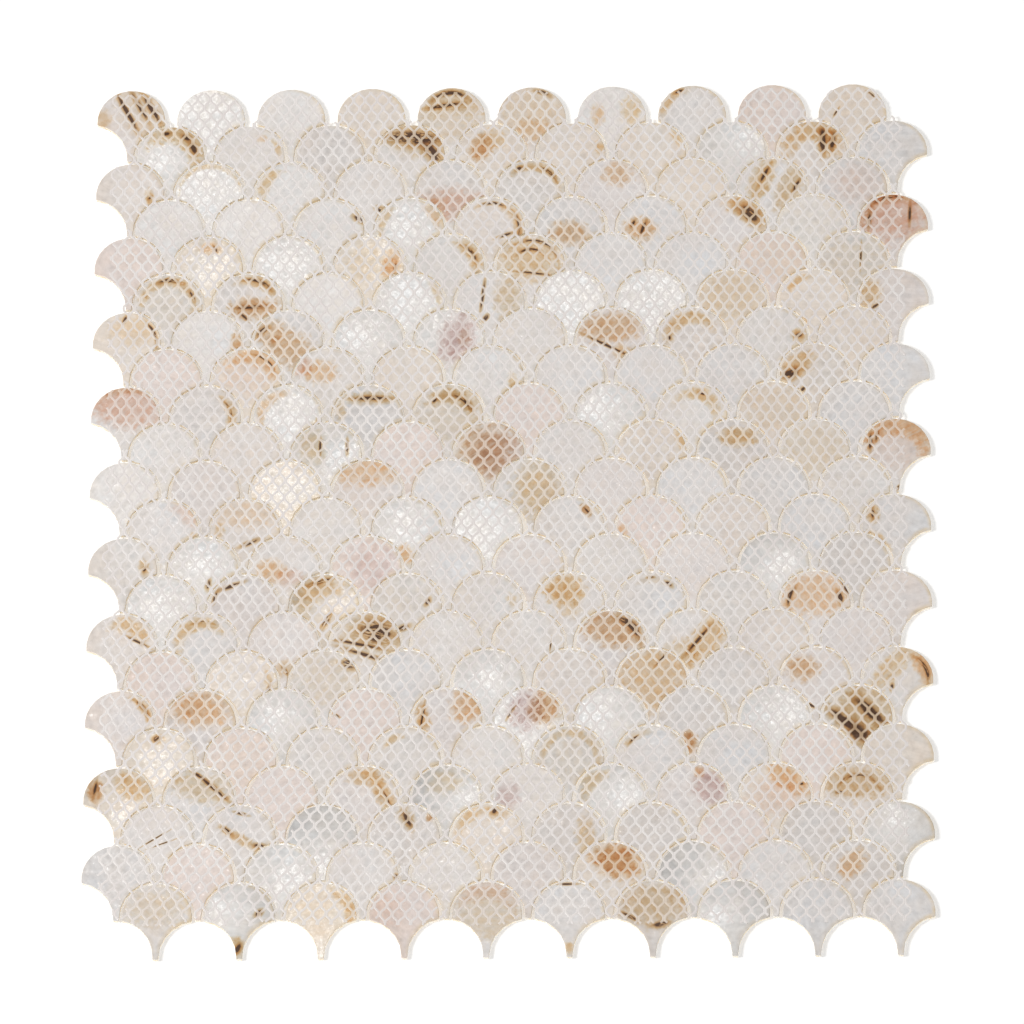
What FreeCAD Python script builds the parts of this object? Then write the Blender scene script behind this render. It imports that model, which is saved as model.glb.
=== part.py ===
import FreeCAD, Part
import Sketcher
import math
import os

# A mosaic sheet of mother-of-pearl fish-scale chips, lying face down on a level floor.
# Every chip is a dome with a waisted foot: the domes of the row below bite into its two flanks,
# and its narrow stem runs down between them to the dome two rows below.
# A thin knitted net, glued over the backs of all the chips, holds the sheet together.
# X runs along the rows, Y points from the stems to the domes, and Z points up from the floor.
# The origin is the middle of the sheet, on the faces of the chips. All sizes are in millimetres.

doc = FreeCAD.newDocument("FishScaleSheet")

# Each driving dimension: its name in the sheet, its value, and what it is on the real sheet.
DRIVING_DIMENSIONS = [
    ("chip_pitch", 27.0, "from one chip to the next in a row"),
    ("joint_width", 1.0, "open joint between neighbouring chips"),
    ("stem_width", 2.0, "width of a chip's stem, between the domes of the row below"),
    ("chip_thickness", 2.0, "thickness of the sawn and ground shell"),
    ("chips_per_row", 10, "chips in every row"),
    ("row_count", 22, "rows in the sheet, every second one shifted by half a pitch"),
    ("net_thickness", 0.4, "thickness of the knitted net with its film of glue"),
    ("net_left_bare", 5.0, "shell left bare between the left tips and the cut edge of the net"),
    ("net_right_bare", 8.0, "shell left bare between the right tips and the cut edge of the net"),
    ("net_head_bare", 1.0, "shell left bare between the top of the domes and the net"),
    ("net_foot_bare", 11.0, "shell left bare between the ends of the last stems and the net"),
]

sizes = doc.addObject("Spreadsheet::Sheet", "Sizes")
for line, (name, value, meaning) in enumerate(DRIVING_DIMENSIONS, start=1):
    sizes.set(f"A{line}", name)
    sizes.set(f"B{line}", str(value))
    sizes.set(f"C{line}", meaning)
    sizes.setAlias(f"B{line}", name)
doc.recompute()

# What follows from them. The rows are half a pitch apart, so that every bite is nearly a quarter of
# a circle, and the dome fills what the joints and the stem leave of the pitch.
ROW_PITCH = "(Sizes.chip_pitch / 2)"
BITE_RADIUS = "(Sizes.chip_pitch / 2 - Sizes.stem_width / 2)"
DOME_RADIUS = f"({BITE_RADIUS} - Sizes.joint_width)"
STEM_REACH = f"(2 * {ROW_PITCH} - {BITE_RADIUS})"
SHEET_WIDTH = f"(2 * {DOME_RADIUS} + (Sizes.chips_per_row - 0.5) * Sizes.chip_pitch)"
SHEET_HEIGHT = f"({DOME_RADIUS} + (Sizes.row_count - 1) * {ROW_PITCH} + {STEM_REACH})"
FIRST_DOME_X = "-(Sizes.chips_per_row - 0.5) * Sizes.chip_pitch / 2"

# The same lengths as numbers, for the outlines of the chip and of the net.
pitch = float(sizes.chip_pitch)
joint = float(sizes.joint_width)
chips_per_row = int(sizes.chips_per_row)
row_count = int(sizes.row_count)
row_pitch = pitch / 2
bite_radius = pitch / 2 - float(sizes.stem_width) / 2
dome_radius = bite_radius - joint
stem_reach = 2 * row_pitch - bite_radius
first_dome_x = -(chips_per_row - 0.5) * pitch / 2
first_dome_y = (dome_radius + (row_count - 1) * row_pitch + stem_reach) / 2 - dome_radius


def row_y(row):
    """Height of the dome centres of a row, counted from 0 at the head of the sheet."""
    return first_dome_y - row * row_pitch


def row_x(row, chip):
    """Place of a chip's dome centre along its row: every second row is shifted by half a pitch."""
    return first_dome_x + (chip + 0.5 * (row % 2)) * pitch


def cusp(head, bite):
    """Right-hand corner of a chip, where its dome meets the bite of the dome below it, from their radii."""
    centre_gap = math.hypot(pitch / 2, row_pitch)
    along = (centre_gap ** 2 + head ** 2 - bite ** 2) / (2 * centre_gap)
    across = math.sqrt(head ** 2 - along ** 2)
    right, down = pitch / 2 / centre_gap, row_pitch / centre_gap
    return along * right + across * down, across * right - along * down


def arc(centre_x, centre_y, radius, start, end):
    """Arc about a dome centre, with its angles in radians, turning left."""
    circle = Part.Circle(FreeCAD.Vector(centre_x, centre_y, 0), FreeCAD.Vector(0, 0, 1), radius)
    return Part.ArcOfCircle(circle, start, end)


def line(x_start, y_start, x_end, y_end):
    return Part.LineSegment(FreeCAD.Vector(x_start, y_start, 0), FreeCAD.Vector(x_end, y_end, 0))


def chip_outline(body):
    """Sketch of the first chip of a row, its dome centre at the body's origin."""
    sketch = body.newObject("Sketcher::SketchObject", "ChipOutline")
    plane = [item for item in body.Origin.OriginFeatures if item.Role == "XY_Plane"][0]
    sketch.AttachmentSupport = [(plane, "")]
    sketch.MapMode = "FlatFace"
    tip_x, tip_y = cusp(dome_radius, bite_radius)
    tip_angle = math.atan2(tip_y, tip_x)
    bite_angle = math.atan2(tip_y + row_pitch, pitch / 2 - tip_x)
    stem_side = pitch / 2 - bite_radius
    dome, left_bite, left_side, foot, right_side, right_bite = sketch.addGeometry([
        arc(0, 0, dome_radius, tip_angle, math.pi - tip_angle),
        arc(-pitch / 2, -row_pitch, bite_radius, 0, bite_angle),
        line(-stem_side, -row_pitch, -stem_side, -stem_reach),
        line(-stem_side, -stem_reach, stem_side, -stem_reach),
        line(stem_side, -stem_reach, stem_side, -row_pitch),
        arc(pitch / 2, -row_pitch, bite_radius, math.pi - bite_angle, math.pi),
    ], False)
    start, end, centre, origin = 1, 2, 3, (-1, 1)
    sketch.addConstraint([
        Sketcher.Constraint("Coincident", dome, centre, *origin),
        Sketcher.Constraint("Coincident", dome, end, left_bite, end),
        Sketcher.Constraint("Coincident", left_bite, start, left_side, start),
        Sketcher.Constraint("Coincident", left_side, end, foot, start),
        Sketcher.Constraint("Coincident", foot, end, right_side, start),
        Sketcher.Constraint("Coincident", right_side, end, right_bite, end),
        Sketcher.Constraint("Coincident", right_bite, start, dome, start),
        Sketcher.Constraint("Vertical", left_side),
        Sketcher.Constraint("Horizontal", foot),
        Sketcher.Constraint("Vertical", right_side),
        Sketcher.Constraint("Horizontal", left_bite, centre, left_bite, start),
        Sketcher.Constraint("Horizontal", right_bite, centre, right_bite, end),
        Sketcher.Constraint("Equal", left_bite, right_bite),
    ])
    driven = [
        ("dome_size", Sketcher.Constraint("Radius", dome, dome_radius), DOME_RADIUS),
        ("bite_size", Sketcher.Constraint("Radius", left_bite, bite_radius), BITE_RADIUS),
        ("bite_left", Sketcher.Constraint("DistanceX", left_bite, centre, *origin, pitch / 2),
         "Sizes.chip_pitch / 2"),
        ("bite_right", Sketcher.Constraint("DistanceX", *origin, right_bite, centre, pitch / 2),
         "Sizes.chip_pitch / 2"),
        ("bite_drop_left", Sketcher.Constraint("DistanceY", left_bite, centre, *origin, row_pitch),
         ROW_PITCH),
        ("bite_drop_right", Sketcher.Constraint("DistanceY", right_bite, centre, *origin, row_pitch),
         ROW_PITCH),
        ("stem_drop", Sketcher.Constraint("DistanceY", foot, start, *origin, stem_reach), STEM_REACH),
    ]
    for name, constraint, formula in driven:
        index = sketch.addConstraint(constraint)
        sketch.renameConstraint(index, name)
        sketch.setExpression(f"Constraints.{name}", formula)
    return sketch


def chip_row(row):
    """One row of like chips, sawn from shell: the first chip is padded and repeated along the row."""
    body = doc.addObject("PartDesign::Body", f"ChipRow{row + 1:02d}")
    body.Label = f"chip_row_{row + 1:02d}"
    body.AllowCompound = True
    sketch = chip_outline(body)
    chip = body.newObject("PartDesign::Pad", "Chip")
    chip.Profile = sketch
    chip.setExpression("Length", "Sizes.chip_thickness")
    doc.recompute()
    repeat = body.newObject("PartDesign::LinearPattern", "ChipsOfTheRow")
    repeat.Originals = [chip]
    repeat.Direction = (sketch, ["H_Axis"])
    repeat.Mode = "Spacing"
    repeat.setExpression("Offset", "Sizes.chip_pitch")
    repeat.setExpression("Occurrences", "Sizes.chips_per_row")
    body.Tip = repeat
    shift = " + Sizes.chip_pitch / 2" if row % 2 else ""
    body.setExpression("Placement.Base.x", FIRST_DOME_X + shift)
    body.setExpression("Placement.Base.y", f"{SHEET_HEIGHT} / 2 - {DOME_RADIUS} - {row} * {ROW_PITCH}")
    return body


def scalloped_edge():
    """Closed outline of the whole sheet, along the middle of the joints that a neighbour would leave."""
    radius = dome_radius + joint / 2
    tip_x, tip_y = cusp(radius, radius)
    tip_angle = math.atan2(tip_y, tip_x)
    bite_angle = math.atan2(tip_y + row_pitch, pitch / 2 - tip_x)
    stem_side = pitch / 2 - radius
    neck_angle = math.asin(stem_side / radius)
    neck_height = radius * math.cos(neck_angle)
    stem_drop = 2 * row_pitch - radius
    last_row, last_chip = row_count - 1, chips_per_row - 1
    curves = []

    # The head: the domes of the first row, and the tops of the second row between them.
    for chip in range(chips_per_row):
        curves.append(arc(row_x(0, chip), row_y(0), radius, tip_angle, math.pi - tip_angle))
    for chip in range(last_chip):
        curves.append(arc(row_x(1, chip), row_y(1), radius, bite_angle, math.pi - bite_angle))

    # The two sides: side is -1 for the rows that stand out on the left, +1 for those on the right.
    for row in range(row_count):
        side = 1 if row % 2 else -1
        outer_x = row_x(row, last_chip if side > 0 else 0)
        stem_x = outer_x + side * stem_side
        if row > 0:
            top_angle = math.pi - bite_angle if row == 1 else math.pi / 2 - neck_angle
            flank = (tip_angle, top_angle)
            if side < 0:
                flank = (math.pi - top_angle, math.pi - tip_angle)
            curves.append(arc(outer_x, row_y(row), radius, *flank))
        bite = (0, bite_angle) if side < 0 else (math.pi - bite_angle, math.pi)
        curves.append(arc(outer_x + side * pitch / 2, row_y(row + 1), radius, *bite))
        stem_bottom = row_y(row + 2) + neck_height
        if row == last_row:
            stem_bottom = row_y(row) - stem_drop
        curves.append(line(stem_x, row_y(row + 1), stem_x, stem_bottom))

    # The foot: the ends of the last stems and the bites between them, for the next sheet's domes.
    for chip in range(chips_per_row):
        stem_x = row_x(last_row, chip)
        stem_end = row_y(last_row) - stem_drop
        curves.append(line(stem_x - stem_side, stem_end, stem_x + stem_side, stem_end))
        if chip > 0 or last_row % 2:
            curves.append(line(stem_x - stem_side, row_y(row_count), stem_x - stem_side, stem_end))
        if chip < last_chip or last_row % 2 == 0:
            curves.append(line(stem_x + stem_side, row_y(row_count), stem_x + stem_side, stem_end))
    for chip in range(last_chip):
        curves.append(arc(row_x(last_row, chip) + pitch / 2, row_y(row_count), radius, 0, math.pi))
    inner_corner = (0, math.pi / 2 + neck_angle) if last_row % 2 else (math.pi / 2 - neck_angle, math.pi)
    inner_x = row_x(0, 0) if last_row % 2 else row_x(1, last_chip)
    curves.append(arc(inner_x, row_y(row_count), radius, *inner_corner))

    edges = Part.__sortEdges__([curve.toShape() for curve in curves])
    return Part.Wire(edges)


def backing_net():
    """The net as a thin sheet: cut straight along its four sides, and cut out along the scallops."""
    trimmed = doc.addObject("Part::Feature", "ScallopedNet")
    trimmed.Shape = Part.Face(scalloped_edge()).extrude(FreeCAD.Vector(0, 0, float(sizes.net_thickness)))
    trimmed.setExpression("Placement.Base.z", "Sizes.chip_thickness")
    blank = doc.addObject("Part::Box", "NetCutFromTheRoll")
    blank.setExpression("Length", f"{SHEET_WIDTH} - Sizes.net_left_bare - Sizes.net_right_bare")
    blank.setExpression("Width", f"{SHEET_HEIGHT} - Sizes.net_head_bare - Sizes.net_foot_bare")
    blank.setExpression("Height", "Sizes.net_thickness")
    blank.setExpression("Placement.Base.x", f"-{SHEET_WIDTH} / 2 + Sizes.net_left_bare")
    blank.setExpression("Placement.Base.y", f"-{SHEET_HEIGHT} / 2 + Sizes.net_foot_bare")
    blank.setExpression("Placement.Base.z", "Sizes.chip_thickness")
    net = doc.addObject("Part::Common", "BackingNet")
    net.Label = "backing_net"
    net.Base = blank
    net.Tool = trimmed
    return net


pieces = [chip_row(row) for row in range(row_count)]
pieces.append(backing_net())
doc.recompute()

for item in doc.Objects:
    if "Invalid" in item.State or "Error" in item.State:
        raise ValueError(f"{item.Label} did not build: {item.State}")
for piece in pieces:
    if piece.Shape.isNull() or not piece.Shape.isValid():
        raise ValueError(f"{piece.Label} has no sound shape")

os.makedirs("parts", exist_ok=True)
for piece in pieces:
    piece.Shape.exportStep(f"parts/{piece.Label}.step")
    print(f"{piece.Label}: {len(piece.Shape.Solids)} solids, {piece.Shape.Volume / 1000:.2f} cm3")
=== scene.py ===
import random
from math import atan2, cos, degrees, hypot, radians, sin, sqrt

import bpy
import numpy as np
from mathutils import Matrix, Vector


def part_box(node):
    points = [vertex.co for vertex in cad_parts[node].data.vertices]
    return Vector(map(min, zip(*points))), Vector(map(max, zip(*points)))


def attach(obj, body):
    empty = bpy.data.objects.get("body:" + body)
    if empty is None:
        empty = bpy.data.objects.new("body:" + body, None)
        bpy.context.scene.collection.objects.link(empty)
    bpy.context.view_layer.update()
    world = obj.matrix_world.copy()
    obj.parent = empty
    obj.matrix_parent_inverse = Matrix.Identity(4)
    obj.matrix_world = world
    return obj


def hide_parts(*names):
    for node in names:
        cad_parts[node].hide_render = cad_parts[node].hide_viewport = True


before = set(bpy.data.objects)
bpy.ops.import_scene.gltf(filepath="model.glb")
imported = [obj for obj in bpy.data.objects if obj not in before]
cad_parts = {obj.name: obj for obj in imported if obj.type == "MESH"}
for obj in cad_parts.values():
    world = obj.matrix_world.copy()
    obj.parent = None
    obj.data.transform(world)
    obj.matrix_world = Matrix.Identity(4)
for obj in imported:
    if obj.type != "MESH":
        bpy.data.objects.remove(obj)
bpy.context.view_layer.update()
MM = 0.001


# The view: a long lens high above the sheet, a little to its right and below its foot, so that the
# sheet stands almost square in the picture. The camera is turned a little about its own line of sight.
VIEW_AZIMUTH, VIEW_ELEVATION, VIEW_ROLL = radians(5.2), radians(68.6), radians(-5.31)
VIEW_DISTANCE = 3354 * MM
VIEW_TARGET = Vector((0.75 * MM, 1.85 * MM, 0))

line_of_sight = Vector((
    -sin(VIEW_AZIMUTH) * cos(VIEW_ELEVATION),
    cos(VIEW_AZIMUTH) * cos(VIEW_ELEVATION),
    -sin(VIEW_ELEVATION),
))
level_right = Vector((cos(VIEW_AZIMUTH), sin(VIEW_AZIMUTH), 0))
level_up = level_right.cross(line_of_sight)
picture_right = level_right * cos(VIEW_ROLL) + level_up * sin(VIEW_ROLL)
picture_up = level_up * cos(VIEW_ROLL) - level_right * sin(VIEW_ROLL)
eye = VIEW_TARGET - line_of_sight * VIEW_DISTANCE

bpy.ops.object.camera_add(location=eye)
camera = bpy.context.object
camera.name = "camera"
turned = Matrix((picture_right, picture_up, -line_of_sight)).transposed()
camera.matrix_world = Matrix.Translation(eye) @ turned.to_4x4()
camera.data.sensor_width = 36
camera.data.lens = 355.4
camera.data.clip_start, camera.data.clip_end = 0.1, 50
bpy.context.scene.camera = camera


# The studio: one soft lamp high on the left, so that the left of the sheet is a little brighter, and
# an even white room round it. The floor is a white light table, turned low. Its light comes up between
# the chips and warms their sawn edges. The camera sees a little less of it than it gives, so that the
# thin shadow along the right of every chip stays.
bpy.context.scene.view_settings.view_transform = "Standard"
LAMP_PLACE = Vector((-1.24, -0.32, 1.60))
LAMP_WIDTH = 0.6
LAMP_POWER = 19.3
ROOM_LIGHT, ROOM_SEEN = 0.53, 1.0
TABLE_LIGHT, TABLE_SEEN = 0.53, 0.23
TABLE_SIZE = 30
TABLE_DROP = 0.1 * MM


def to_linear(colour):
    """A colour written as sRGB hex, as the linear red, green and blue that materials use."""
    parts = [int(colour[i:i + 2], 16) / 255 for i in (1, 3, 5)]
    return [p / 12.92 if p <= 0.04045 else ((p + 0.055) / 1.055) ** 2.4 for p in parts]


def add_node(tree, kind, inputs=None, stops=(), **settings):
    """Adds a node with its settings. inputs gives each socket a number, a colour, another node's output,
    or another node, which stands for its first output. stops gives a colour ramp its places and colours."""
    made = tree.nodes.new("ShaderNode" + kind)
    for name, value in settings.items():
        setattr(made, name, value)
    for number, (position, colour) in enumerate(stops):
        made.color_ramp.elements[number].position = position
        made.color_ramp.elements[number].color = (*to_linear(colour), 1)
    for socket, value in (inputs or {}).items():
        if isinstance(value, bpy.types.Node):
            value = value.outputs[0]
        if isinstance(value, bpy.types.NodeSocket):
            tree.links.new(value, made.inputs[socket])
        else:
            made.inputs[socket].default_value = value
    return made


def new_material(name):
    """An empty procedural material and its tree, to which the caller adds every node."""
    material = bpy.data.materials.new(name)
    material.use_nodes = True
    material.node_tree.nodes.clear()
    return material, material.node_tree


def seen_or_given(tree, seen, given):
    """How bright a glow is: seen for what the camera sees, also in a shine or through a clear part, and
    given for the light that falls on things."""
    ray = add_node(tree, "LightPath")
    sight = add_node(tree, "Math", {0: ray.outputs["Is Camera Ray"], 1: ray.outputs["Is Glossy Ray"]},
                     operation="ADD")
    sight = add_node(tree, "Math", {0: sight, 1: ray.outputs["Is Transmission Ray"]}, operation="ADD",
                     use_clamp=True)
    return add_node(tree, "MapRange", {0: sight, 3: given, 4: seen})


bpy.ops.object.light_add(type="AREA", location=LAMP_PLACE)
lamp = bpy.context.object
lamp.name = "soft_lamp"
lamp.rotation_euler = LAMP_PLACE.to_track_quat("Z", "Y").to_euler()
lamp.data.shape = "DISK"
lamp.data.size = LAMP_WIDTH
lamp.data.energy = LAMP_POWER

world = bpy.data.worlds.new("white_room")
world.use_nodes = True
bpy.context.scene.world = world
room = world.node_tree
room.nodes.clear()
room_glow = seen_or_given(room, ROOM_SEEN, ROOM_LIGHT)
walls = add_node(room, "Background", {"Color": (1, 1, 1, 1), "Strength": room_glow})
add_node(room, "OutputWorld", {"Surface": walls})

bpy.ops.mesh.primitive_plane_add(size=TABLE_SIZE, location=(0, 0, -TABLE_DROP))
floor = bpy.context.object
floor.name = "light_table"
table, tree = new_material("white_light_table")
white_sheet = add_node(tree, "BsdfDiffuse", {"Color": (0.95, 0.95, 0.95, 1)})
table_glow = seen_or_given(tree, TABLE_SEEN, TABLE_LIGHT)
bright = add_node(tree, "Emission", {"Color": (1, 1, 1, 1), "Strength": table_glow})
both = add_node(tree, "AddShader", {0: white_sheet, 1: bright})
add_node(tree, "OutputMaterial", {"Surface": both})
floor.data.materials.append(table)


# The chips: 22 rows of ten fish scales, sawn from mother-of-pearl and ground to 2 mm, laid face down.
# The backs that show here keep stains of the shell's outer skin, amber and brown with dark growth lines.
# The chips are laid by hand in a jig, so each is a little off its place, and no two have the same figure.
CHIP_PITCH = 27.0
JOINT = 1.0
STEM_WIDTH = 2.0
CHIP_THICKNESS = 2.0
CHIPS_PER_ROW = 10
ROW_COUNT = 22
ROW_PITCH = CHIP_PITCH / 2
BITE_RADIUS = CHIP_PITCH / 2 - STEM_WIDTH / 2
DOME_RADIUS = BITE_RADIUS - JOINT
STEM_REACH = 2 * ROW_PITCH - BITE_RADIUS
FIRST_DOME_X = -(CHIPS_PER_ROW - 0.5) * CHIP_PITCH / 2
FIRST_DOME_Y = (DOME_RADIUS + (ROW_COUNT - 1) * ROW_PITCH + STEM_REACH) / 2 - DOME_RADIUS
DOME_STEPS, BITE_STEPS = 15, 5
BROKEN_EDGE = 0.16
WELD = 0.01

# The tip of a chip, where its dome meets the bite on its right, counted from the middle of the dome.
centre_gap = hypot(ROW_PITCH, ROW_PITCH)
along = (centre_gap ** 2 + DOME_RADIUS ** 2 - BITE_RADIUS ** 2) / (2 * centre_gap)
across = sqrt(DOME_RADIUS ** 2 - along ** 2)
TIP = Vector(((along + across) * sqrt(0.5), (across - along) * sqrt(0.5), 0))


def spin(centre, turn, steps):
    """Spins the selected corner about a point on the floor, in millimetres, leaving an arc behind it."""
    bpy.ops.mesh.spin(steps=steps, angle=radians(turn), center=(centre[0] * MM, centre[1] * MM, 0),
                      axis=(0, 0, 1))


def extrude_corner(x, y):
    bpy.ops.mesh.extrude_vertices_move(TRANSFORM_OT_translate={"value": (x * MM, y * MM, 0)})


def new_object(name, data):
    made = bpy.data.objects.new(name, data)
    bpy.context.scene.collection.objects.link(made)
    return made


def select_only(things):
    bpy.ops.object.select_all(action="DESELECT")
    for thing in things:
        thing.select_set(True)
    bpy.context.view_layer.objects.active = things[0]


def dome_middle(row, number):
    """The middle of a chip's dome, in millimetres. Even rows are shifted by half a pitch."""
    x = FIRST_DOME_X + (number - 1 + 0.5 * ((row - 1) % 2)) * CHIP_PITCH
    return x, FIRST_DOME_Y - (row - 1) * ROW_PITCH


# The outline starts as one corner, on the right of the stem, and is drawn round the whole chip.
bpy.ops.mesh.primitive_plane_add(size=0.1 * MM, location=(STEM_WIDTH / 2 * MM, -ROW_PITCH * MM, 0))
pattern_chip = bpy.context.object
pattern_chip.name = "pattern_chip"
bpy.ops.object.transform_apply(location=True, rotation=True, scale=True)
bpy.ops.object.mode_set(mode="EDIT")
bpy.ops.mesh.select_mode(type="VERT")
bpy.ops.mesh.select_all(action="SELECT")
bpy.ops.mesh.merge(type="CENTER")
bite_turn = degrees(atan2(TIP.y + ROW_PITCH, CHIP_PITCH / 2 - TIP.x))
dome_turn = 180 - 2 * degrees(atan2(TIP.y, TIP.x))
spin((CHIP_PITCH / 2, -ROW_PITCH), bite_turn, BITE_STEPS)
spin((0, 0), -dome_turn, DOME_STEPS)
spin((-CHIP_PITCH / 2, -ROW_PITCH), bite_turn, BITE_STEPS)
extrude_corner(0, -(STEM_REACH - ROW_PITCH))
extrude_corner(STEM_WIDTH, 0)
extrude_corner(0, STEM_REACH - ROW_PITCH)
bpy.ops.mesh.select_all(action="SELECT")
bpy.ops.mesh.remove_doubles(threshold=WELD * MM)
bpy.ops.mesh.edge_face_add()
bpy.ops.mesh.extrude_region_move(TRANSFORM_OT_translate={"value": (0, 0, CHIP_THICKNESS * MM)})
bpy.ops.mesh.select_all(action="SELECT")
bpy.ops.mesh.normals_make_consistent(inside=False)
bpy.ops.mesh.select_all(action="DESELECT")
bpy.ops.object.mode_set(mode="OBJECT")
for edge in pattern_chip.data.edges:
    first, second = (pattern_chip.data.vertices[i].co for i in edge.vertices)
    edge.select = abs(first.z - second.z) < WELD * MM
bpy.ops.object.mode_set(mode="EDIT")
bpy.ops.mesh.select_mode(type="EDGE")
bpy.ops.mesh.bevel(offset=BROKEN_EDGE * MM, segments=1, clamp_overlap=True)
bpy.ops.object.mode_set(mode="OBJECT")
select_only([pattern_chip])
bpy.ops.object.shade_smooth_by_angle(angle=radians(38))

# What each notable chip shows, counted from the head of the sheet and from the left, in millimetres from
# the middle of its dome and in degrees. patch: a stain's colour, place, half length, half width, strength
# and turn. rim: a stain that follows the dome, from one angle to another at a radius. line and rim_line:
# dark growth lines, whose cover says how much of the stretch is dark.
SKIN_COLOURS = {
    "amber": "#eccfa4", "orange": "#f1cfa8", "brown": "#ddb385", "tan": "#e9d4b3",
    "rose": "#ecccba", "mauve": "#d7bfbb", "cream": "#f5ecdd",
}
# Lengths along the dome are measured at this radius.
ARC_RADIUS = 9.5


def patch(colour, x, y, length, width, strength=1.0, turn=0):
    return "stain", (x, y, radians(turn)), (length, width, strength), colour


def line(x, y, length, width, turn=0, cover=0.9):
    return "streak", (x, y, radians(turn)), (length, width, cover), None


def along_dome(start, end, radius):
    """The place and length of a mark that follows the dome. The length is less than 0, which says so.
    Angles are counted from the right-hand side, turning left, so the top of the dome is at 90."""
    middle, half = radians(90 - (start + end) / 2), radians(end - start) / 2
    return (middle * ARC_RADIUS, radius, 0), -half * ARC_RADIUS


def rim(colour, start, end, radius, width, strength=0.75):
    place, length = along_dome(start, end, radius)
    return "stain", place, (length, width, strength), colour


def rim_line(start, end, radius, width, cover=0.8):
    place, length = along_dome(start, end, radius)
    return "streak", place, (length, width, cover), None


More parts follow.
